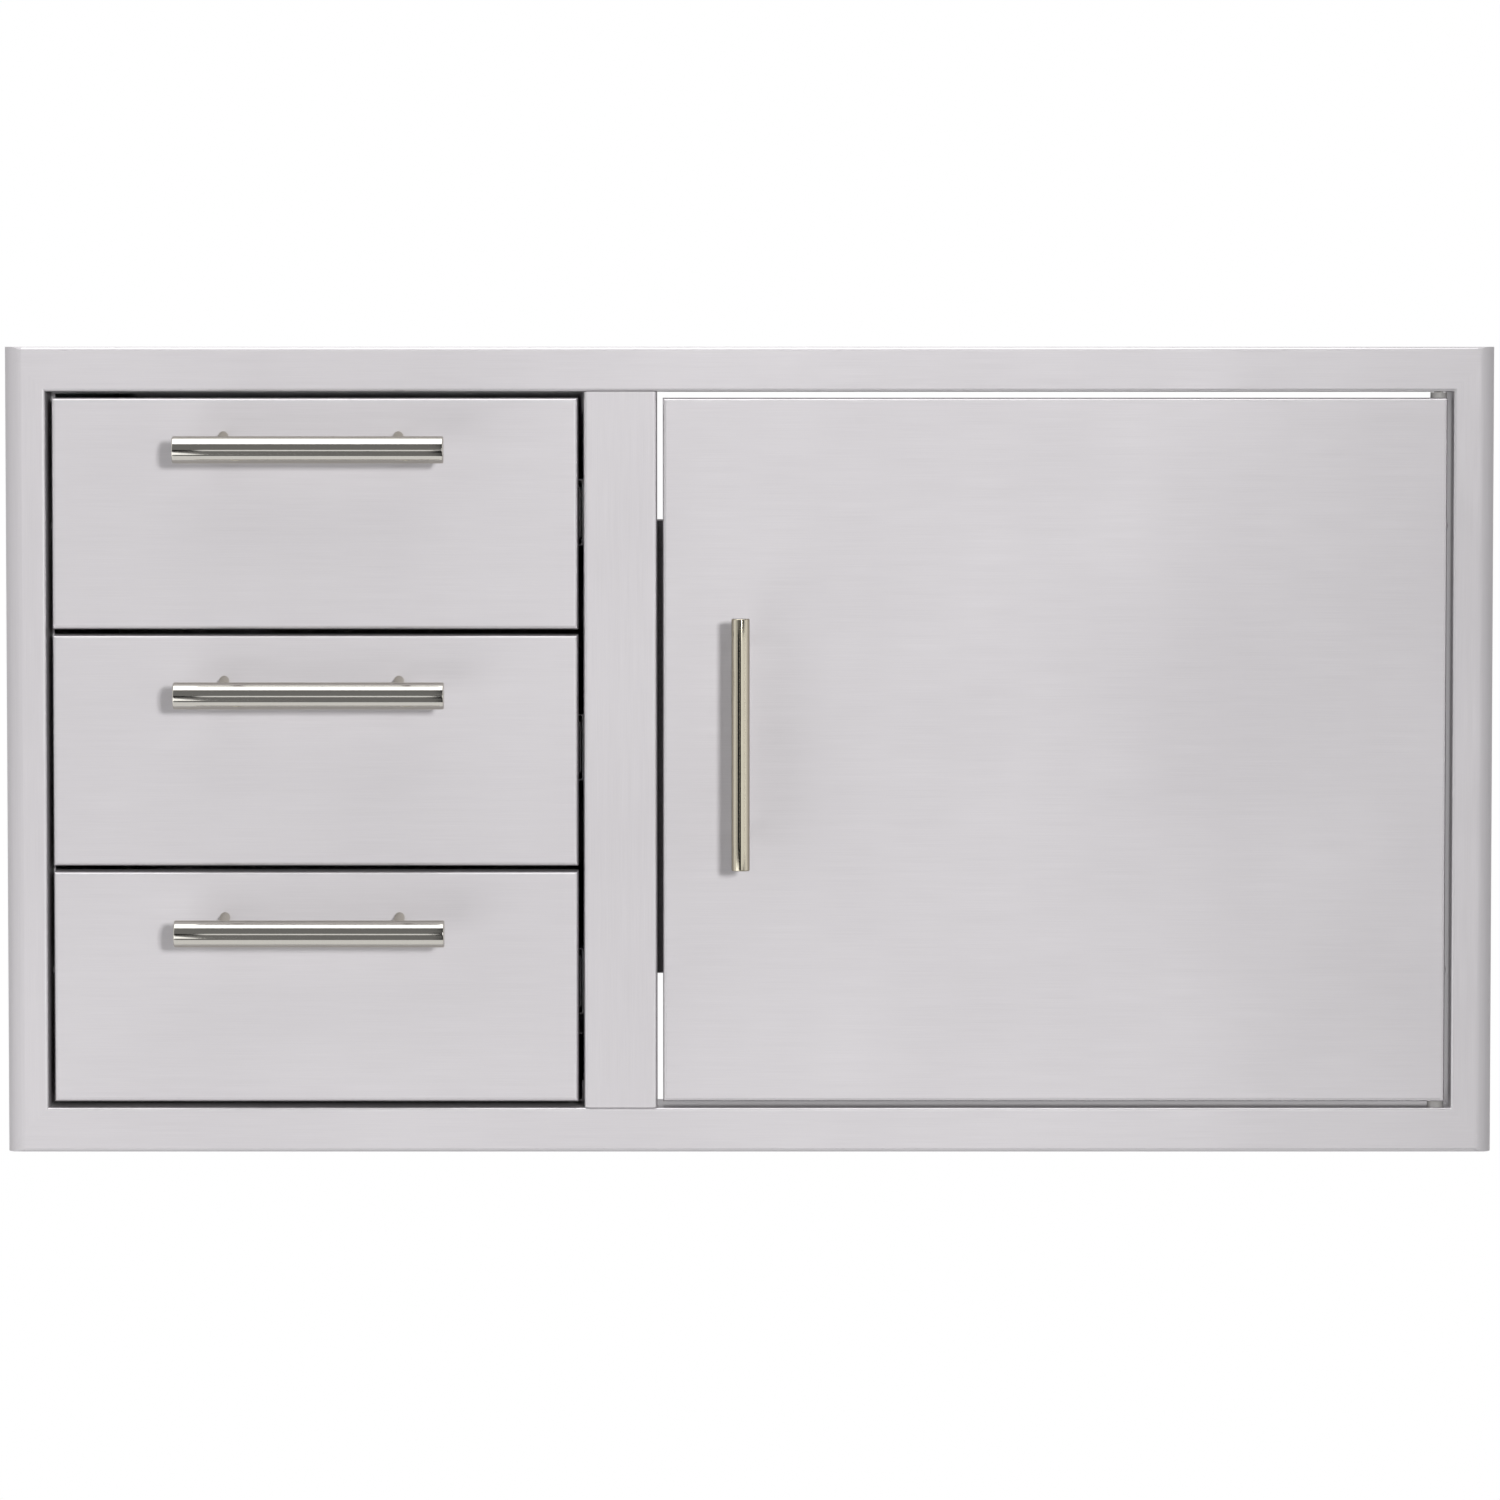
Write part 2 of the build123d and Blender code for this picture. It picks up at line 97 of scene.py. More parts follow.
# %% Node helper
def fill_socket(tree, socket, value):
    """Link another node's output to the socket, or set a plain value on it."""
    if isinstance(value, bpy.types.NodeSocket):
        tree.links.new(value, socket)
    else:
        socket.default_value = value


def add_node(tree, kind, settings=None, **sockets):
    """One node of a tree. An underscore in a socket's name stands for a space."""
    made = tree.nodes.new(kind)
    for name, value in (settings or {}).items():
        setattr(made, name, value)
    for name, value in sockets.items():
        fill_socket(tree, made.inputs[name.replace("_", " ")], value)
    return made


def calculate(tree, operation, *values):
    """One step of arithmetic on numbers or sockets."""
    made = add_node(tree, "ShaderNodeMath", {"operation": operation})
    for socket, value in zip(made.inputs, values):
        fill_socket(tree, socket, value)
    return made.outputs[0]


# %% [markdown]
# ## World
# The background is plain white where the camera or a mirror sees it, and a little dimmer where it lights the
# floor and the plain pieces. A brighter white round the object would wash the pale steel out.

# %% World
fill_colour, fill_level = (0.9, 0.9, 0.92, 1), 0.9
white_colour, white_level = (1, 1, 1, 1), 1.0
world = bpy.data.worlds.new("studio_world")
scene.world = world
world.use_nodes = True
world_tree = world.node_tree
world_tree.nodes.clear()
rays = add_node(world_tree, "ShaderNodeLightPath")
seen = calculate(world_tree, "MAXIMUM", rays.outputs["Is Camera Ray"], rays.outputs["Is Glossy Ray"])
seen = calculate(world_tree, "MAXIMUM", seen, rays.outputs["Is Transmission Ray"])
soft_fill = add_node(world_tree, "ShaderNodeBackground", Color=fill_colour, Strength=fill_level)
white = add_node(world_tree, "ShaderNodeBackground", Color=white_colour, Strength=white_level)
choice = add_node(world_tree, "ShaderNodeMixShader", Fac=seen)
world_tree.links.new(soft_fill.outputs[0], choice.inputs[1])
world_tree.links.new(white.outputs[0], choice.inputs[2])
add_node(world_tree, "ShaderNodeOutputWorld", Surface=choice.outputs[0])
print("world", world.name)


# %% [markdown]
# ## Cards
# A polished bar in an all-white room has no shape: every part of it mirrors the same white. A photographer
# sets grey cards round the object, and the bar then shows a bright sky, a dark middle and a thin light line
# where the room is left open between the upper and the lower card. A dark strip in that opening draws the
# dark line along the upright bar of the door, and a small dark card close in front of the bar widens it. The
# right half of the room is hung with black cloth, because the main lamp stands on that side and the flat
# fronts would grow too bright there.
#
# Pale cards at the sides light the folded edges that face them. A pale card on the floor does the same for
# the lower edges, and only mirrors see it. A grey cloth behind the door keeps the white of the room out of
# the gaps round it. Cards glow evenly, need no lamps of their own, and are left out of the camera's view and
# of the shadows, so that a lamp may stand behind them. Only the flag casts a shadow: a black card before the
# main lamp, which takes some of its light from the right end.

# %% Cards
def add_card(name, corner, across, up, level):
    """A flat card: corner + u * across + v * up, with u and v from 0 to 1."""
    u, v = np.array([[0], [1], [1], [0]]), np.array([[0], [0], [1], [1]])
    points = np.array(corner) + u * np.array(across) + v * np.array(up)
    mesh = bpy.data.meshes.new(name)
    mesh.from_pydata(points.tolist(), [], [[0, 1, 2, 3]])
    card = bpy.data.objects.new(name, mesh)
    scene.collection.objects.link(card)
    card.visible_camera = False
    card.visible_shadow = False
    card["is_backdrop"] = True
    paint = bpy.data.materials.new(name)
    paint.use_nodes = True
    paint.node_tree.nodes.clear()
    glow = add_node(paint.node_tree, "ShaderNodeEmission", Color=(level, level, level, 1), Strength=1.0)
    add_node(paint.node_tree, "ShaderNodeOutputMaterial", Surface=glow.outputs[0])
    mesh.materials.append(paint)
    return card


def facing_card(name, y, x, z, level):
    """An upright card across the room at one Y, over a range of X and a range of Z."""
    return add_card(name, (x[0], y, z[0]), (x[1] - x[0], 0, 0), (0, 0, z[1] - z[0]), level)


def side_card(name, x, y, z, level):
    """An upright card along the room at one X, over a range of Y and a range of Z."""
    return add_card(name, (x, y[0], z[0]), (0, y[1] - y[0], 0), (0, 0, z[1] - z[0]), level)


def level_card(name, z, x, y, level):
    """A level card at one Z, over a range of X and a range of Y."""
    return add_card(name, (x[0], y[0], z), (x[1] - x[0], 0, 0), (0, y[1] - y[0], 0), level)


# %% Cards in front
card_level, dark_level = 0.22, 0.02
left, right, front = -3.0, 3.0, -3.8
top, bottom = 4.9, -5.0
slit_top, slit_bottom, wide_slit_bottom = 0.2, -0.45, -0.8
before_card = 0.01
facing_card("upper_card", y=front, x=(left, 0.0), z=(slit_top, top), level=card_level)
facing_card("upper_cloth", y=front, x=(0.0, right), z=(slit_top, top), level=dark_level)
facing_card("lower_card", y=front, x=(left, 0.0), z=(bottom, slit_bottom), level=card_level)
facing_card("lower_cloth", y=front, x=(0.0, right), z=(bottom, wide_slit_bottom), level=dark_level)
facing_card("dark_strip", y=front + before_card, x=(-2.9, -0.8), z=(-0.75, slit_top), level=dark_level)
facing_card("bar_card", y=-1.0, x=(-0.18, 0.09), z=(-0.3, 0.15), level=dark_level)
key_flag = facing_card("key_flag", y=-4.3, x=(1.47, 3.27), z=(-0.6, 2.0), level=dark_level)
key_flag.visible_shadow = True
key_flag.visible_glossy = False
print("cards in front, open from", slit_bottom, "to", slit_top)

# %% Cards at the sides, above, below and behind
front_level, side_level, rear_level = 0.6, 0.9, 0.3
floor_level, back_level = 0.9, 0.5
side_front, side_rear, rear = -1.5, 0.6, 2.6
cloth_end = -3.0
tall = (-1.6, 1.8)
deep = (front, 1.0)
floor_z, over_floor = -0.75, 0.01
side_card("right_upper_cloth", right, (front, cloth_end), (slit_top, tall[1]), dark_level)
side_card("right_lower_cloth", right, (front, cloth_end), (tall[0], wide_slit_bottom), dark_level)
for side, x, start in (("left", left, front), ("right", right, cloth_end)):
    side_card(f"{side}_front_card", x, (start, side_front), tall, front_level)
    side_card(f"{side}_card", x, (side_front, side_rear), tall, side_level)
    side_card(f"{side}_rear_card", x, (side_rear, rear), tall, rear_level)
level_card("ceiling_cloth", z=2.4, x=(0.6, right), y=deep, level=dark_level)
level_card("floor_cloth", z=-1.7, x=(0.9, right), y=deep, level=dark_level)
floor_card = level_card(
    "floor_card", z=floor_z + over_floor, x=(-0.75, 0.75), y=(-0.6, 0.0), level=floor_level
)
floor_card.visible_diffuse = False
facing_card("back_cloth", y=0.3, x=(-0.06, 0.5), z=(-0.3, 0.3), level=back_level)


# %% [markdown]
# ## Lamps
# A broad lamp overhead draws the bright line on every upper edge. The main lamp stands far away in front,
# above and to the right, so that the handles' shadows fall to the left and down, and so that the whole front
# gets nearly the same light: close by, it would leave the far side dark. A wide dim lamp low on the left
# evens out the rest, where a small bright one would glare in the open slides. A narrow lamp far to the right
# gives the door's bar its highlight.

# %% Lamps
def add_lamp(name, place, aim, size, watts):
    """A rectangular soft lamp at a place, turned so that its face looks at the aim."""
    data = bpy.data.lights.new(name, "AREA")
    data.shape = "RECTANGLE"
    data.size, data.size_y = size
    data.energy = watts
    lamp = bpy.data.objects.new(name, data)
    lamp.location = place
    lamp.rotation_euler = (Vector(aim) - Vector(place)).to_track_quat("-Z", "Y").to_euler()
    lamp.visible_camera = False
    scene.collection.objects.link(lamp)


key_turn, key_rise, key_distance = radians(15), radians(8), 9.0
key_place = key_distance * Vector(
    (np.sin(key_turn) * np.cos(key_rise), -np.cos(key_turn) * np.cos(key_rise), np.sin(key_rise))
)
middle = (0.0, 0.0, 0.0)
add_lamp("overhead_lamp", place=(0.0, -0.5, 1.9), aim=(0.0, -0.5, 0.0), size=(2.4, 1.8), watts=18.0)
add_lamp("key_lamp", place=key_place, aim=middle, size=(0.9, 0.9), watts=368.0)
add_lamp("left_lamp", place=(-1.5, -1.8, -1.0), aim=(-0.2, 0.0, 0.0), size=(1.8, 1.2), watts=10.5)
add_lamp("right_lamp", place=(2.5, -1.6, -0.15), aim=middle, size=(0.25, 0.6), watts=0.7)

# %% [markdown]
# ## Floor
# The unit hangs in a wall, so the floor lies well below it, where the camera of the picture doesn't see it.
# It is a plain pale disc: its rim is a circle, given by the angle.

# %% Floor
floor_radius, rim_points = 0.8, 96
floor_middle = (0.0, 0.2, floor_z)
floor_colour, floor_roughness = (0.8, 0.8, 0.8, 1), 0.9
angle = np.linspace(0, 2 * np.pi, rim_points, endpoint=False)
rim = np.array(floor_middle) + floor_radius * np.stack([np.cos(angle), np.sin(angle), 0 * angle], axis=1)
floor_mesh = bpy.data.meshes.new("studio_floor")
floor_mesh.from_pydata(rim.tolist(), [], [list(range(rim_points))])
floor = bpy.data.objects.new("studio_floor", floor_mesh)
scene.collection.objects.link(floor)
floor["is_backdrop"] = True
floor_paint = bpy.data.materials.new("studio_floor")
floor_paint.use_nodes = True
floor_shader = floor_paint.node_tree.nodes["Principled BSDF"]
floor_shader.inputs["Base Color"].default_value = floor_colour
floor_shader.inputs["Roughness"].default_value = floor_roughness
floor_shader.inputs["Specular IOR Level"].default_value = 0.0
floor_mesh.materials.append(floor_paint)
print("floor", floor_radius, "m in radius")


# %% [markdown]
# ## What all the finishes share
# A finish here is a colour and a roughness that both vary a little over the surface, and a shallow bump. The
# variation is noise on the piece's own coordinates in metres, so that it sticks to the piece when a drawer
# opens. An image of scratches would blur close up, while noise stays sharp at any distance. Where the noise
# is stretched along one axis it becomes lines along that axis.

# %% Colour, roughness and bump
def start_finish(name, metallic=1.0):
    """A new material and its shader."""
    material = bpy.data.materials.new(name)
    material.use_nodes = True
    shader = material.node_tree.nodes["Principled BSDF"]
    shader.inputs["Metallic"].default_value = metallic
    return material, shader


def tint(tree, shader, colour, *shades):
    """The colour times every shade, as the shader's base colour."""
    for shade in shades:
        made = add_node(tree, "ShaderNodeVectorMath", {"operation": "SCALE"}, Scale=shade)
        fill_socket(tree, made.inputs[0], colour)
        colour = made.outputs[0]
    tree.links.new(colour, shader.inputs["Base Color"])


def roughen(tree, shader, *parts):
    """The sum of the parts as the shader's roughness."""
    total = parts[0]
    for part in parts[1:]:
        total = calculate(tree, "ADD", total, part)
    tree.links.new(total, shader.inputs["Roughness"])


def emboss(tree, shader, height, strength, distance=0.0002):
    """A bump of the height's shape: the distance is how far the surface would rise, in metres."""
    made = add_node(tree, "ShaderNodeBump", Strength=strength, Distance=distance, Height=height)
    tree.links.new(made.outputs["Normal"], shader.inputs["Normal"])


# %% Noise and its range
usual_noise = (0.3, 0.7)


def own_place(tree):
    """The piece's own coordinates."""
    return add_node(tree, "ShaderNodeTexCoord").outputs["Object"]


def noise(tree, place, scale, detail=3.0):
    """Noise with the given number of features to the metre along each axis."""
    scaled = add_node(tree, "ShaderNodeMapping", Vector=place, Scale=scale)
    made = add_node(tree, "ShaderNodeTexNoise", Vector=scaled.outputs["Vector"], Scale=1.0, Detail=detail)
    return made.outputs["Fac"]


def own_noise(tree, scale, detail=3.0):
    """Noise on the piece's own coordinates."""
    return noise(tree, own_place(tree), scale, detail)


def ramp(tree, value, start, end, low=0.0, high=1.0):
    """Low at the start and high at the end, on a straight line between them, and level beyond both."""
    made = add_node(
        tree, "ShaderNodeMapRange", Value=value, From_Min=start, From_Max=end, To_Min=low, To_Max=high
    )
    return made.outputs["Result"]


def between(tree, value, low, high):
    """The noise's usual spread moved to the range from low to high."""
    return ramp(tree, value, *usual_noise, low, high)


def about(tree, value, middle, spread):
    """The noise's usual spread moved to the range of the middle less and plus the spread."""
    return between(tree, value, middle - spread, middle + spread)


# %% [markdown]
# ## Brushed stainless steel
# The frame, the mullion and the fronts are sheet that was ground with a belt, so that fine straight lines run
# along it: level on the rails and fronts, upright on the stiles and the mullion. Fine lines move the
# roughness and the bump, wide bands shade the colour by about one percent, and clouds stand for the hand that
# wiped the steel. A fold rubs against the bending tool, so the bends are smoother than the flats: there the
# normal points along none of the piece's own axes. The returns behind a fold are a little smoother than the
# face too, since the belt hardly reached them, and they mirror the dark of the gaps.

# %% Direction of the grain
stile_width, rail_height = 0.028, 0.030
opening_half_width = nodes["face_frame"].dimensions.x / 2 - stile_width
opening_half_height = nodes["face_frame"].dimensions.z / 2 - rail_height
# A mix node has sockets for every kind of data: these are the numbers of its factor and of its vectors.
mix_factor, mix_first, mix_second, mix_result = 0, 4, 5, 1


def upright_place(tree):
    """The piece's own coordinates with X and Z swapped, which turns the grain upright."""
    parts = add_node(tree, "ShaderNodeSeparateXYZ", Vector=own_place(tree))
    x, y, z = parts.outputs
    return add_node(tree, "ShaderNodeCombineXYZ", X=z, Y=y, Z=x).outputs[0]


def mitred_place(tree):
    """Upright grain on the stiles and level grain on the rails, changing on a slanted line in each corner."""
    parts = add_node(tree, "ShaderNodeSeparateXYZ", Vector=own_place(tree))
    x, _, z = [calculate(tree, "ABSOLUTE", part) for part in parts.outputs]
    beside = calculate(tree, "SUBTRACT", x, opening_half_width)
    above = calculate(tree, "SUBTRACT", z, opening_half_height)
    on_stile = calculate(tree, "GREATER_THAN", beside, above)
    mixed = add_node(tree, "ShaderNodeMix", {"data_type": "VECTOR"})
    tree.links.new(on_stile, mixed.inputs[mix_factor])
    tree.links.new(own_place(tree), mixed.inputs[mix_first])
    tree.links.new(upright_place(tree), mixed.inputs[mix_second])
    return mixed.outputs[mix_result]


# %% Bends and returns
roll_width = 0.012
roll_start = nodes["face_frame"].dimensions.x / 2 - roll_width
flat_normal, bent_normal = 0.99, 0.85
face_normal, edge_normal = 0.35, 0.1


def own_normal(tree):
    """The sizes of the normal's three parts along the piece's own axes."""
    normal = add_node(tree, "ShaderNodeNewGeometry").outputs["Normal"]
    own = add_node(
        tree, "ShaderNodeVectorTransform",
        {"vector_type": "NORMAL", "convert_from": "WORLD", "convert_to": "OBJECT"}, Vector=normal,
    )
    parts = add_node(tree, "ShaderNodeSeparateXYZ", Vector=own.outputs[0])
    return [calculate(tree, "ABSOLUTE", part) for part in parts.outputs]


def bends(tree):
    """1 on the round of a tight fold and 0 on a flat, from how far the normal is from the piece's axes.

    The wide rolls at the frame's sides were ground with the flats, and count as flats.
    """
    x, y, z = own_normal(tree)
    largest = calculate(tree, "MAXIMUM", calculate(tree, "MAXIMUM", x, y), z)
    folded = ramp(tree, largest, flat_normal, bent_normal)
    place = add_node(tree, "ShaderNodeSeparateXYZ", Vector=own_place(tree))
    inside_rolls = calculate(tree, "LESS_THAN", calculate(tree, "ABSOLUTE", place.outputs[0]), roll_start)
    return calculate(tree, "MULTIPLY", folded, inside_rolls)


def returns(tree):
    """1 on the folded-in edges of a sheet, whose normals have no part along Y, and 0 on its face."""
    _, y, _ = own_normal(tree)
    return ramp(tree, y, face_normal, edge_normal)


# %% Brushed stainless steel
steel_colour, steel_roughness = (0.64, 0.622, 0.638), 0.68
bend_change, return_change = -0.36, -0.1


def brushed_steel(name, place_of):
    """Ground stainless sheet whose grain follows the given coordinates."""
    material, shader = start_finish(name)
    tree = material.node_tree
    place = place_of(tree)
    lines = noise(tree, place, scale=(22, 2400, 2400), detail=2.0)
    bands = noise(tree, place, scale=(2.5, 240, 240), detail=4.0)
    clouds = own_noise(tree, scale=(5, 5, 5))
    tint(
        tree, shader, steel_colour,
        about(tree, bands, 1, spread=0.008),
        about(tree, clouds, 1, spread=0.008),
    )
    roughen(
        tree, shader,
        about(tree, lines, steel_roughness, spread=0.035),
        about(tree, clouds, 0, spread=0.03),
        calculate(tree, "MULTIPLY", bends(tree), bend_change),
        calculate(tree, "MULTIPLY", returns(tree), return_change),
    )
    emboss(tree, shader, lines, strength=0.035)
    return material


brushed_level = brushed_steel("brushed_stainless_level", own_place)
brushed_upright = brushed_steel("brushed_stainless_upright", upright_place)
brushed_frame = brushed_steel("brushed_stainless_frame", mitred_place)
print("brushed", [m.name for m in bpy.data.materials if m.name.startswith("brushed_stainless_")])

# %% [markdown]
# ## Mill-finish stainless steel
# The cabinet, the liners and the trays are sheet as it comes from the mill: smoother, a little cloudy, with
# fine lines and faint wide streaks in the rolling direction and a few scratches from handling. Scratches are
# the thin places where a stretched noise crosses its middle value. All of it is weak: a rough patch mirrors a
# different part of the room, and a few percent too much make the sheet look like marble.

# %% Mill-finish stainless steel
mill_colour, mill_roughness = (0.6, 0.592, 0.602), 0.44
noise_middle, scratch_width, scratch_change = 0.5, 0.004, 0.05
mill, mill_shader = start_finish("mill_stainless")
mill_tree = mill.node_tree
rolled = own_noise(mill_tree, scale=(520, 7, 520))
streaks = own_noise(mill_tree, scale=(60, 1.5, 60))
mill_clouds = own_noise(mill_tree, scale=(9, 9, 9), detail=4.0)
scuffs = own_noise(mill_tree, scale=(14, 60, 170), detail=5.0)
off_middle = calculate(mill_tree, "ABSOLUTE", calculate(mill_tree, "SUBTRACT", scuffs, noise_middle))
scratch = calculate(mill_tree, "LESS_THAN", off_middle, scratch_width)
tint(
    mill_tree, mill_shader, mill_colour,
    about(mill_tree, mill_clouds, 1, spread=0.02),
    about(mill_tree, streaks, 1, spread=0.018),
)
roughen(
    mill_tree, mill_shader,
    about(mill_tree, rolled, mill_roughness, spread=0.02),
    about(mill_tree, streaks, 0, spread=0.012),
    about(mill_tree, mill_clouds, 0, spread=0.02),
    calculate(mill_tree, "MULTIPLY", scratch, scratch_change),
)
emboss(mill_tree, mill_shader, rolled, strength=0.03)
print("mill finish", mill.name)

# %% [markdown]
# ## Polished steel of the handles
# The bars are turned and polished, so they mirror the room. Very fine lines run round them, where the
# polishing belt passed. The bars made below carry a map of their own: U is the distance along the outline in
# metres and V is the turn from 0 to 1. The sine and cosine of the turn make the lines join up. The posts are
# CAD solids with no map, and get the same steel with a plain fine grain. The door's bar is a warmer steel
# than the drawers' bars. Its edge colour is nearly black: a painted shade that darkens it wherever it is seen
# at a slant.

# %% Polished steel of the handles
drawer_bar_colour, drawer_bar_edge = (0.61, 0.59, 0.545), (0.7, 0.68, 0.63, 1)
# The door's edge colour is painted shade: nearly black, it darkens the bar's sides wherever they are seen at
# a slant.
door_bar_colour, door_bar_painted_edge_shade = (0.61, 0.566, 0.458), (0.15, 0.14, 0.12, 1)
polish_roughness = 0.1
line_scale, grain_scale = (1800, 0.7, 0.7), (700, 700, 700)


def polished_steel(name, colour, edge, place_of, scale):
    """Polished steel with fine lines where the place changes fast, and an edge colour seen at a slant."""
    material, shader = start_finish(name)
    tree = material.node_tree
    lines = noise(tree, place_of(tree), scale)
    smudges = own_noise(tree, scale=(45, 45, 45))
    shader.inputs["Specular Tint"].default_value = edge
    tint(tree, shader, colour, about(tree, lines, 1, spread=0.01))
    roughen(
        tree, shader,
        about(tree, lines, polish_roughness, spread=0.012),
        between(tree, smudges, low=-0.015, high=0.0),
    )
    emboss(tree, shader, lines, strength=0.01, distance=0.00005)
    return material


def around_place(tree):
    """(U, cosine of the turn, sine of the turn) of a turned piece's map."""
    own_map = add_node(tree, "ShaderNodeTexCoord").outputs["UV"]
    along, turn, _ = add_node(tree, "ShaderNodeSeparateXYZ", Vector=own_map).outputs
    turn = calculate(tree, "MULTIPLY", turn, 2 * np.pi)
    cosine, sine = calculate(tree, "COSINE", turn), calculate(tree, "SINE", turn)
    return add_node(tree, "ShaderNodeCombineXYZ", X=along, Y=cosine, Z=sine).outputs[0]


turned_polish = polished_steel(
    "handle_steel_turned", drawer_bar_colour, drawer_bar_edge, around_place, line_scale
)
door_polish = polished_steel("handle_steel_door", door_bar_colour, door_bar_painted_edge_shade, around_place, line_scale)
post_polish = polished_steel("handle_steel_posts", drawer_bar_colour, drawer_bar_edge, own_place, grain_scale)
print("polished", turned_polish.name, door_polish.name, post_polish.name)

# %% [markdown]
# ## Zinc plate, cages, magnet and nylon
# The slides are bright zinc plate, whose thin film turns a little blue or yellow from place to place, and
# their tracks are rubbed lengthwise by the balls. The ball cages are darker bare steel with a film of grease.
# The catch magnet is pressed from dark powder, and the hinge bushes are moulded nylon.

# %% Zinc plate
blue_film, yellow_film = (0.56, 0.59, 0.65, 1), (0.64, 0.62, 0.57, 1)
zinc_roughness = 0.36
zinc, zinc_shader = start_finish("zinc_steel")
zinc_tree = zinc.node_tree
rubbed = own_noise(zinc_tree, scale=(700, 9, 700))
film = own_noise(zinc_tree, scale=(16, 10, 16), detail=4.0)
film_colour = add_node(zinc_tree, "ShaderNodeValToRGB", Fac=between(zinc_tree, film, low=0.0, high=1.0))
film_colour.color_ramp.elements[0].color = blue_film
film_colour.color_ramp.elements[1].color = yellow_film
tint(zinc_tree, zinc_shader, film_colour.outputs["Color"], between(zinc_tree, rubbed, low=0.96, high=1.03))
roughen(
    zinc_tree, zinc_shader,
    about(zinc_tree, rubbed, zinc_roughness, spread=0.04),
    about(zinc_tree, film, 0, spread=0.02),
)
emboss(zinc_tree, zinc_shader, rubbed, strength=0.05)
print("zinc", zinc.name)

# %% Ball cages
cage_colour = (0.36, 0.355, 0.35)
cage, cage_shader = start_finish("cage_steel")
cage_tree = cage.node_tree
grease = own_noise(cage_tree, scale=(60, 22, 60), detail=4.0)
tint(cage_tree, cage_shader, cage_colour, between(cage_tree, grease, low=0.85, high=1.08))
roughen(cage_tree, cage_shader, between(cage_tree, grease, low=0.3, high=0.52))
emboss(cage_tree, cage_shader, grease, strength=0.05)
print("cages", cage.name)

# %% Magnet
magnet_colour = (0.12, 0.116, 0.12)
magnet, magnet_shader = start_finish("black_magnet", metallic=0.0)
magnet_tree = magnet.node_tree
powder = own_noise(magnet_tree, scale=(1500, 1500, 1500), detail=2.0)
pressed = own_noise(magnet_tree, scale=(900, 900, 8), detail=2.0)
tint(magnet_tree, magnet_shader, magnet_colour, between(magnet_tree, powder, low=0.8, high=1.25))
roughen(magnet_tree, magnet_shader, between(magnet_tree, pressed, low=0.52, high=0.7))
emboss(magnet_tree, magnet_shader, pressed, strength=0.2)
print("magnet", magnet.name)

# %% Nylon
nylon_colour = (0.38, 0.37, 0.36)
nylon, nylon_shader = start_finish("nylon", metallic=0.0)
nylon_tree = nylon.node_tree
moulded = own_noise(nylon_tree, scale=(400, 400, 400))
tint(nylon_tree, nylon_shader, nylon_colour, between(nylon_tree, moulded, low=0.95, high=1.04))
roughen(nylon_tree, nylon_shader, between(nylon_tree, moulded, low=0.38, high=0.52))
emboss(nylon_tree, nylon_shader, moulded, strength=0.08)
print("nylon", nylon.name)

# %% [markdown]
# ## Finishes on the solids
# Every solid comes with a plain material that has the name of its slot in the record. One table gives each
# slot its finish. The frame and the mullion share the fronts' slot but have a grain of their own, so they are
# named one by one.

# %% Finishes on the solids
finish_of_slot = {
    "brushed_stainless": brushed_level, "plain_stainless": mill, "handle_steel": post_polish,
    "zinc_steel": zinc, "cage_steel": cage, "black_magnet": magnet, "nylon": nylon,
}
finish_of_node = {"face_frame": brushed_frame, "center_mullion": brushed_upright}
for node_name, node in nodes.items():
    slot_name = node.data.materials[0].name.split(".")[0]
    node.data.materials[0] = finish_of_node.get(node_name, finish_of_slot[slot_name])
print("finished", len(nodes), "nodes")


# %% [markdown]
# ## Turned pieces
# Bars, balls, rivets, plugs and screw heads are all turned shapes: an outline carried round an axis. A spin
# in Blender would make them one at a time. Here one function makes them all: its grid has the outline's
# points in one direction and the angle in the other, and many copies of a shape become one mesh, because one
# mesh of twenty balls is lighter than twenty objects. The outline starts and ends on the axis, so the first
# and the last row of the grid shrink to one vertex each, and a fan of triangles closes each end.

# %% Points of a turned shape
def perpendicular(axis):
    """Two directions square to an axis, which is along X, Y or Z, and to each other."""
    helper = np.array([1.0, 0.0, 0.0]) if axis[1] else np.array([0.0, 1.0, 0.0])
    side = np.cross(helper, axis)
    return side, np.cross(axis, side)


def turned_grid(along, out, feet, axis, around):
    """Points of a turned shape at each foot, shaped (feet, rows, around, 3).

    point = foot + along * axis + out * (cosine * side + sine * up)
    The height along the axis and the distance out from it may change with the angle too.
    """
    axis = np.array(axis, float)
    side, up = perpendicular(axis)
    turn = 2 * np.pi * np.arange(around) / around
    ring = np.cos(turn)[:, None] * side + np.sin(turn)[:, None] * up
    along, out = [np.broadcast_to(v.reshape(len(v), -1), (len(v), around)) for v in (along, out)]
    shape = along[..., None] * axis + out[..., None] * ring
    return np.asarray(feet, float)[:, None, None, :] + shape


# %% Faces and map of a turned shape
def turned_faces(count, rows, around):
    """The faces of all copies: first every face with four sides, then the fans at the two ends.

    The corners of a face are (row, column), (row, next), (row + 1, next) and (row + 1, column).
    """
    size = 2 + (rows - 2) * around
    row, column = np.meshgrid(np.arange(rows - 3), np.arange(around), indexing="ij")
    after = (column + 1) % around
    this_row, next_row = 1 + row * around, 1 + (row + 1) * around
    corners = [this_row + column, this_row + after, next_row + after, next_row + column]
    quads = np.stack(corners, axis=-1).reshape(-1, 4)
    ring, following = np.arange(around), (np.arange(around) + 1) % around
    last_row = 1 + (rows - 3) * around
    first_fan = np.stack([0 * ring, 1 + following, 1 + ring], axis=1)
    last_fan = np.stack([0 * ring + size - 1, last_row + ring, last_row + following], axis=1)
    shift = size * np.arange(count)
    faces = []
    for part in (quads, first_fan, last_fan):
        faces += (part[None] + shift[:, None, None]).reshape(-1, part.shape[1]).tolist()
    return faces


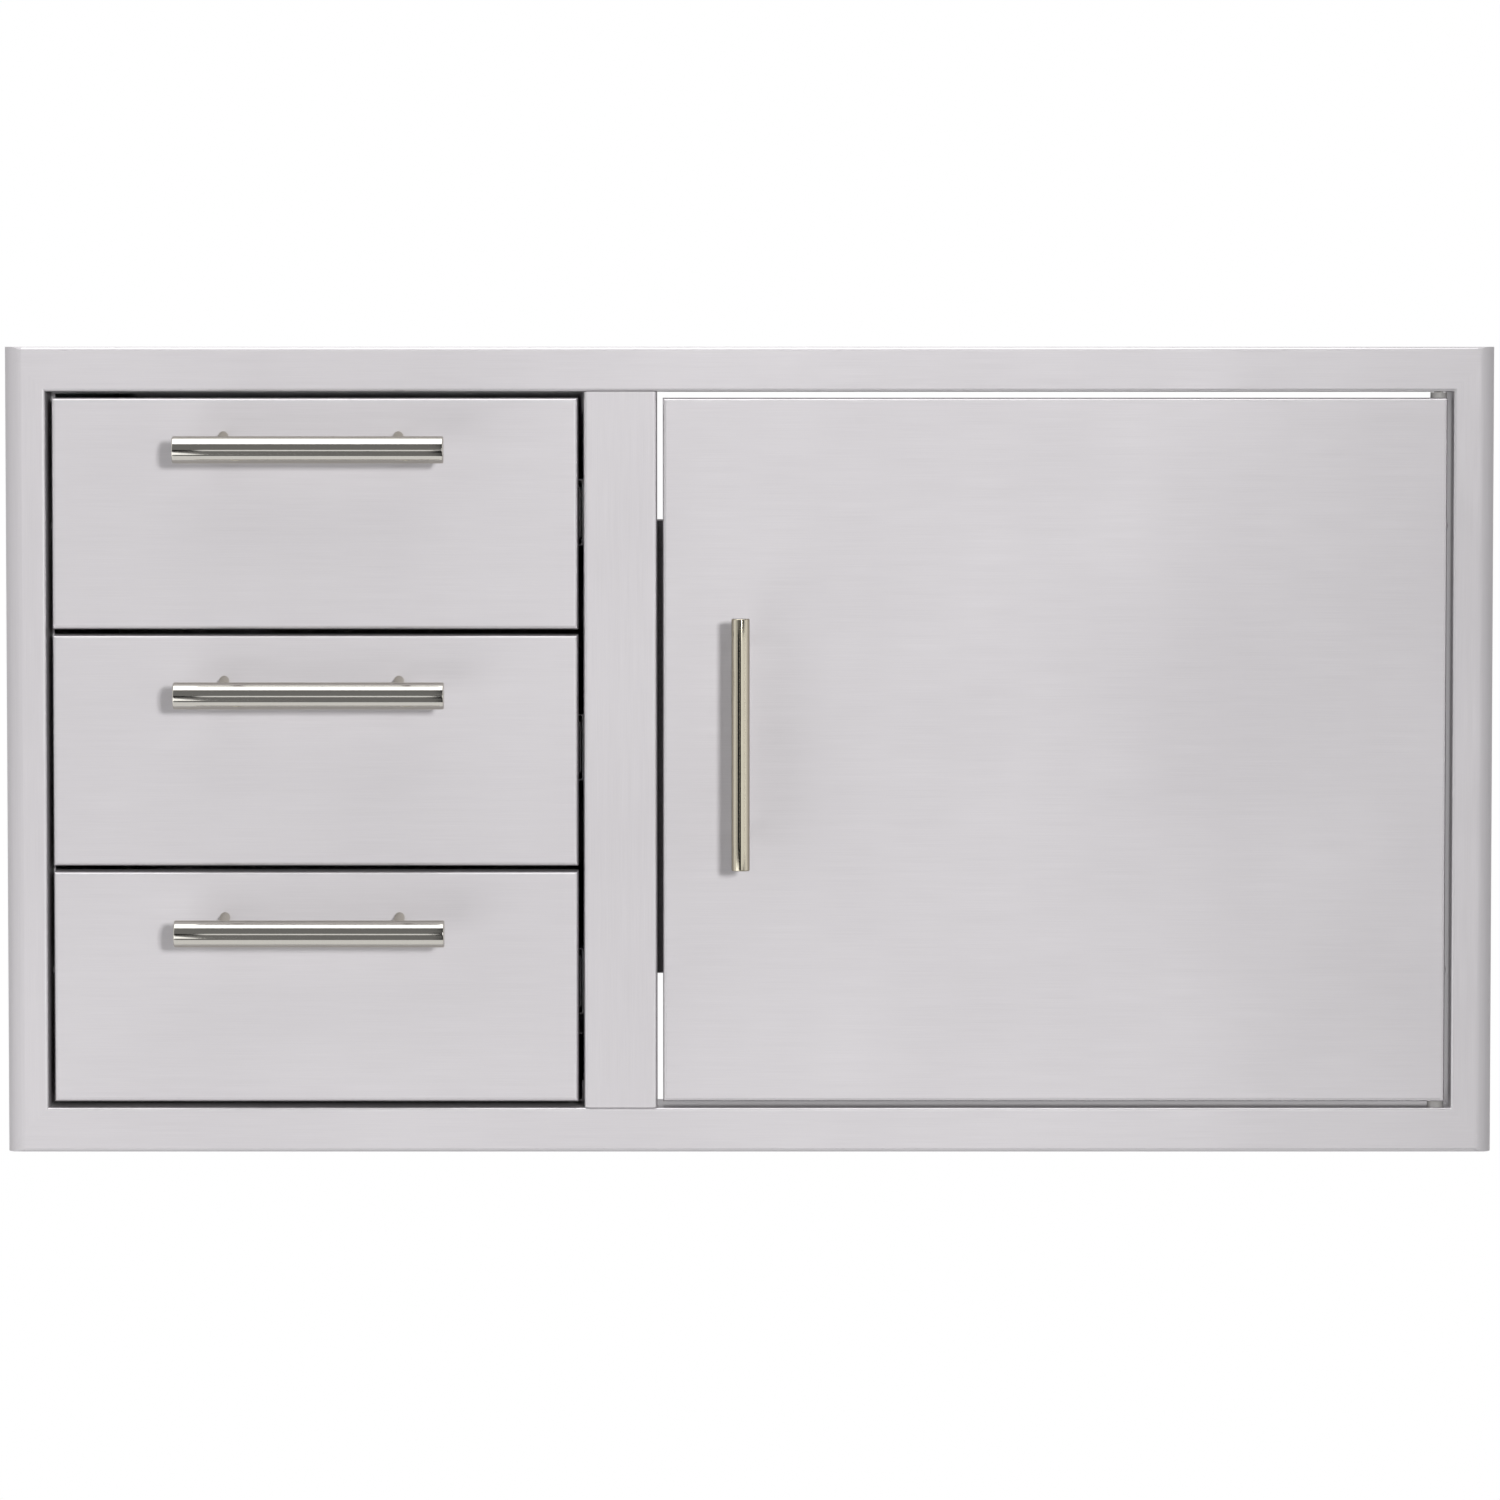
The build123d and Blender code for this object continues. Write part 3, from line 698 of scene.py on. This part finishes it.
def turned_map(along, out, count, around):
    """The map of these faces, in their order: U is the distance along the outline and V is the turn.

    The tip of a fan's triangle lies halfway between the turns of its two other corners.
    """
    rows = len(along)
    mean_along, mean_out = [v.reshape(rows, -1).mean(axis=1) for v in (along, out)]
    path = np.concatenate([[0.0], np.cumsum(np.hypot(np.diff(mean_along), np.diff(mean_out)))])
    row, column = np.meshgrid(np.arange(rows - 3), np.arange(around), indexing="ij")
    quad_turn = np.stack([column, column + 1, column + 1, column], axis=-1).reshape(-1, 4) / around
    quad_path = path[1 + np.stack([row, row, row + 1, row + 1], axis=-1).reshape(-1, 4)]
    quad_map = np.stack([quad_path, quad_turn], axis=-1)
    ring = np.arange(around)
    first_turn = np.stack([ring + 0.5, ring + 1, ring], axis=1) / around
    first_map = np.stack([path[[0, 1, 1]] + 0 * first_turn, first_turn], axis=-1)
    last_turn = np.stack([ring + 0.5, ring, ring + 1], axis=1) / around
    last_map = np.stack([path[[-1, -2, -2]] + 0 * last_turn, last_turn], axis=-1)
    parts = (quad_map, first_map, last_map)
    return np.concatenate([np.tile(part, (count, 1, 1)).ravel() for part in parts])


# %% Turned pieces
def turned_piece(name, outline, feet, axis, around, body, finish):
    """One mesh with a turned shape at each foot, riding on a body."""
    along, out = outline
    grid = turned_grid(along, out, feet, axis, around)
    count, rows = grid.shape[:2]
    points = np.concatenate(
        [grid[:, :1, 0], grid[:, 1:-1].reshape(count, -1, 3), grid[:, -1:, 0]], axis=1
    )
    faces = turned_faces(count, rows, around)
    mesh = bpy.data.meshes.new(name)
    mesh.from_pydata(points.reshape(-1, 3).tolist(), [], faces)
    mesh.uv_layers.new(name="turned_map").data.foreach_set("uv", turned_map(along, out, count, around))
    mesh.polygons.foreach_set("use_smooth", np.ones(len(faces), bool))
    mesh.materials.append(finish)
    piece = bpy.data.objects.new(name, mesh)
    scene.collection.objects.link(piece)
    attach(piece, body)
    return piece


def places_at(x, y, z):
    """Every combination of the given X, Y and Z."""
    return np.stack(np.meshgrid(x, y, z, indexing="ij"), axis=-1).reshape(-1, 3)


# %% [markdown]
# ## Handle bars
# Each bar is a length of round rod. Its ends were faced on a lathe and their edges rounded, so the outline is
# a flat end, a quarter circle and a straight side. The solids have a plain chamfer there, which would mirror
# the room as one hard ring, so the turned bars take their place.

# %% Handle bars
bar_edge, bar_around = 0.0009, 96
edge_steps, side_steps = 9, 7
flat_shares = np.array([0.0, 0.5, 0.85])


def rod_outline(length, radius):
    """A rod's outline from the middle of one end to the middle of the other: flat, quarter circle, side."""
    turn = np.linspace(0, np.pi / 2, edge_steps)
    flat = radius - bar_edge
    end_out = np.concatenate([flat * flat_shares, flat + bar_edge * np.sin(turn)])
    end_along = np.concatenate([0 * flat_shares, bar_edge - bar_edge * np.cos(turn)])
    side = np.linspace(bar_edge, length - bar_edge, side_steps + 1)[1:-1]
    along = np.concatenate([end_along, side, length - end_along[::-1]])
    out = np.concatenate([end_out, np.full(len(side), radius), end_out[::-1]])
    return along, out


for body in ("door", "drawer_1", "drawer_2", "drawer_3"):
    bar_name = f"{body}_handle_bar"
    low, high = (np.array(corner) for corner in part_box(bar_name))
    size = high - low
    axis = np.eye(3)[np.argmax(size)]
    foot = (low + high) / 2 - axis * size.max() / 2
    outline = rod_outline(size.max(), size.min() / 2)
    finish = door_polish if body == "door" else turned_polish
    bar = turned_piece(f"{bar_name}_turned", outline, [foot], axis, bar_around, body, finish)
    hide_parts(bar_name)
    print(bar.name, "length", round(size.max(), 4), "diameter", round(size.min(), 4))

# %% [markdown]
# ## Balls in the slides
# Every cage holds ten balls, five over and five under the slide's middle, and a drawer has a cage of each
# kind on its left and on its right. The balls are seen only when a drawer is open, so a ball is a coarse half
# circle carried round, with smooth shading.

# %% Balls in the slides
ball_radius, ball_steps, ball_around = 0.0016, 6, 8
balls_per_row, pocket = 5, 0.0036
web_to_ball = {"outer": 0.00225, "inner": 0.0034}
cage_half_sheet = 0.0002
half_turn = np.linspace(0, np.pi, ball_steps + 1)
ball_outline = (-ball_radius * np.cos(half_turn), ball_radius * np.sin(half_turn))
for n in (1, 2, 3):
    for kind, reach in web_to_ball.items():
        low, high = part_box(f"drawer_{n}_slide_{kind}_cages")
        places = places_at(
            [low[0] + reach, high[0] - reach],
            np.linspace(low[1] + pocket, high[1] - pocket, balls_per_row),
            [low[2] + cage_half_sheet, high[2] - cage_half_sheet],
        )
        balls = turned_piece(
            f"drawer_{n}_{kind}_balls", ball_outline, places, (0, 0, 1), ball_around,
            f"drawer_{n}_slide_{kind}_cages_body", turned_polish,
        )
        print(balls.name, len(places), "balls")

# %% [markdown]
# ## Low round heads
# Plugs, rivets, welds and screw heads are low turned shapes that sit on a sheet. Each is a height over the
# distance from its middle, as a share of its radius. The base lies a little inside the sheet, so that no gap
# shows under it.

# %% Low round heads
head_sink = 0.0002


def head_outline(radius, shares, heights):
    """From the middle of the sunk base out to the rim, then inwards over the heights, one at each share."""
    base = np.full((2,) + heights.shape[1:], -head_sink)
    along = np.concatenate([base, heights])
    out = np.concatenate([[0.0, radius], radius * shares])
    return along, out


def dome(rise, shares):
    """A quarter of an ellipse: the rise times the root of one less the share squared."""
    return rise * np.sqrt(1 - shares**2)


# %% [markdown]
# ## Plugs behind the handle screws
# A screw goes from the hollow between the sheets through the outer skin into each handle post. The hole in
# the liner that lets the screwdriver in is closed with a nylon plug, straight behind the foot of the post.

# %% Plugs behind the handle screws
plug_radius, plug_rise, plug_around = 0.006, 0.0018, 32
post_half = 0.0035
plug_shares = np.array([1.0, 0.98, 0.92, 0.8, 0.6, 0.3, 0.0])
plug_outline = head_outline(plug_radius, plug_shares, dome(plug_rise, plug_shares))
low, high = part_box("door_handle_posts")
door_x, door_z = (low[0] + high[0]) / 2, [low[2] + post_half, high[2] - post_half]
plug_places = {"door": places_at([door_x], [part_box("door_liner")[1][1]], door_z)}
for n in (1, 2, 3):
    low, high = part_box(f"drawer_{n}_handle_posts")
    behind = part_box(f"drawer_{n}_front_liner")[1][1]
    plug_x = [low[0] + post_half, high[0] - post_half]
    plug_places[f"drawer_{n}"] = places_at(plug_x, [behind], [high[2] - post_half])
for body, places in plug_places.items():
    plugs = turned_piece(
        f"{body}_plugs", plug_outline, places, (0, 1, 0), plug_around, body, nylon
    )
    print(plugs.name, len(places), "plugs")

# %% [markdown]
# ## Screws in the slides
# Pan-head screws hold each inner slide member to the tray. A cross recess is a dip along four arms: on four
# lines of the grid, a quarter turn apart, the head is lower, and in the very middle all round.

# %% Screws in the slides
screw_radius, screw_rise, screw_around = 0.0035, 0.0016, 32
recess, arms, arm_share, middle_share = 0.0009, 4, 0.58, 0.18
screws_per_member, first_screw, web_inset = 4, 0.035, 0.0079
screw_shares = np.array([1.0, 0.96, 0.86, 0.7, 0.6, 0.55, 0.36, 0.2, 0.14, 0.0])
on_arm = np.arange(screw_around)[None, :] % (screw_around // arms) == 0
in_reach, in_middle = screw_shares[:, None] < arm_share, screw_shares[:, None] < middle_share
screw_heights = dome(screw_rise, screw_shares)[:, None] - recess * (in_reach & (on_arm | in_middle))
screw_outline = head_outline(screw_radius, screw_shares, screw_heights)
for n in (1, 2, 3):
    low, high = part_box(f"drawer_{n}_slide_inner")
    screw_y = np.linspace(low[1] + first_screw, high[1] - first_screw, screws_per_member)
    screw_z = [(low[2] + high[2]) / 2]
    webs = {"left": (low[0] + web_inset, (-1, 0, 0)), "right": (high[0] - web_inset, (1, 0, 0))}
    for side, (x, axis) in webs.items():
        places = places_at([x], screw_y, screw_z)
        screws = turned_piece(
            f"drawer_{n}_{side}_screws", screw_outline, places, axis, screw_around,
            f"drawer_{n}", zinc,
        )
        print(screws.name, len(places), "screws")

# %% [markdown]
# ## Rivets and spot welds
# Blind rivets hold the outer slide members to the cabinet's sides; each has a small hole left by its pin. The
# cabinet's sheets are spot-welded through their flanges, which leaves rows of shallow rings.

# %% Outlines of the rivets and spot welds
rivet_radius, rivet_rise, rivet_around = 0.0035, 0.0013, 24
pin_hole, pin_share = 0.0007, 0.4
rivet_shares = np.array([1.0, 0.97, 0.86, 0.66, 0.42, 0.38, 0.0])
rivet_heights = dome(rivet_rise, rivet_shares) - pin_hole * (rivet_shares < pin_share)
rivet_outline = head_outline(rivet_radius, rivet_shares, rivet_heights)
weld_radius, weld_rise, weld_around = 0.0026, 0.00016, 16
weld_base, ring_share, ring_width = 0.25, 0.78, 0.16
weld_shares = np.array([1.0, 0.92, ring_share, 0.62, 0.4, 0.0])
weld_heights = weld_rise * (weld_base + np.exp(-(((weld_shares - ring_share) / ring_width) ** 2)))
weld_outline = head_outline(weld_radius, weld_shares, weld_heights)
print("rivets", 2 * rivet_radius, "and welds", 2 * weld_radius, "m across")

# %% Rivets and spot welds on the sides
rivet_inset, rivets_per_slide = 0.03, 4
flange_half, first_weld, last_weld, welds_per_side = 0.007, 0.035, 0.02, 9
side_low, side_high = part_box("cabinet_left_side")
slide_boxes = [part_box(f"drawer_{n}_slide_outer") for n in (1, 2, 3)]
slide_low, slide_high = slide_boxes[0]
rivet_y = np.linspace(slide_low[1] + rivet_inset, slide_high[1] - rivet_inset, rivets_per_slide)
rivet_z = [(low[2] + high[2]) / 2 for low, high in slide_boxes]
weld_y = np.linspace(side_low[1] + first_weld, side_high[1] - last_weld, welds_per_side)
weld_z = [side_low[2] + flange_half, side_high[2] - flange_half]
outer_faces = {"left": (side_low[0], (-1, 0, 0)), "right": (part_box("cabinet_right_side")[1][0], (1, 0, 0))}
for side, (x, axis) in outer_faces.items():
    for kind, outline, y, z, around in (
        ("rivets", rivet_outline, rivet_y, rivet_z, rivet_around),
        ("welds", weld_outline, weld_y, weld_z, weld_around),
    ):
        heads = turned_piece(
            f"cabinet_{side}_{kind}", outline, places_at([x], y, z), axis, around,
            "frame", mill,
        )
        print(heads.name, len(y) * len(z))

# %% Spot welds on the back
back_inset, back_rows = 0.03, 8
back_low, back_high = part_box("cabinet_back")
places = places_at(
    [back_low[0] + flange_half, back_high[0] - flange_half],
    [back_high[1]],
    np.linspace(back_low[2] + back_inset, back_high[2] - back_inset, back_rows),
)
back_welds = turned_piece(
    "cabinet_back_welds", weld_outline, places, (0, 1, 0), weld_around, "frame", mill
)
print(back_welds.name, len(places))

# %% [markdown]
# ## Size of the dressed unit
# The dressed unit must stay in the box of the solids, so the box of the dressed unit is measured here.

# %% Size of the dressed unit
low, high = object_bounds()
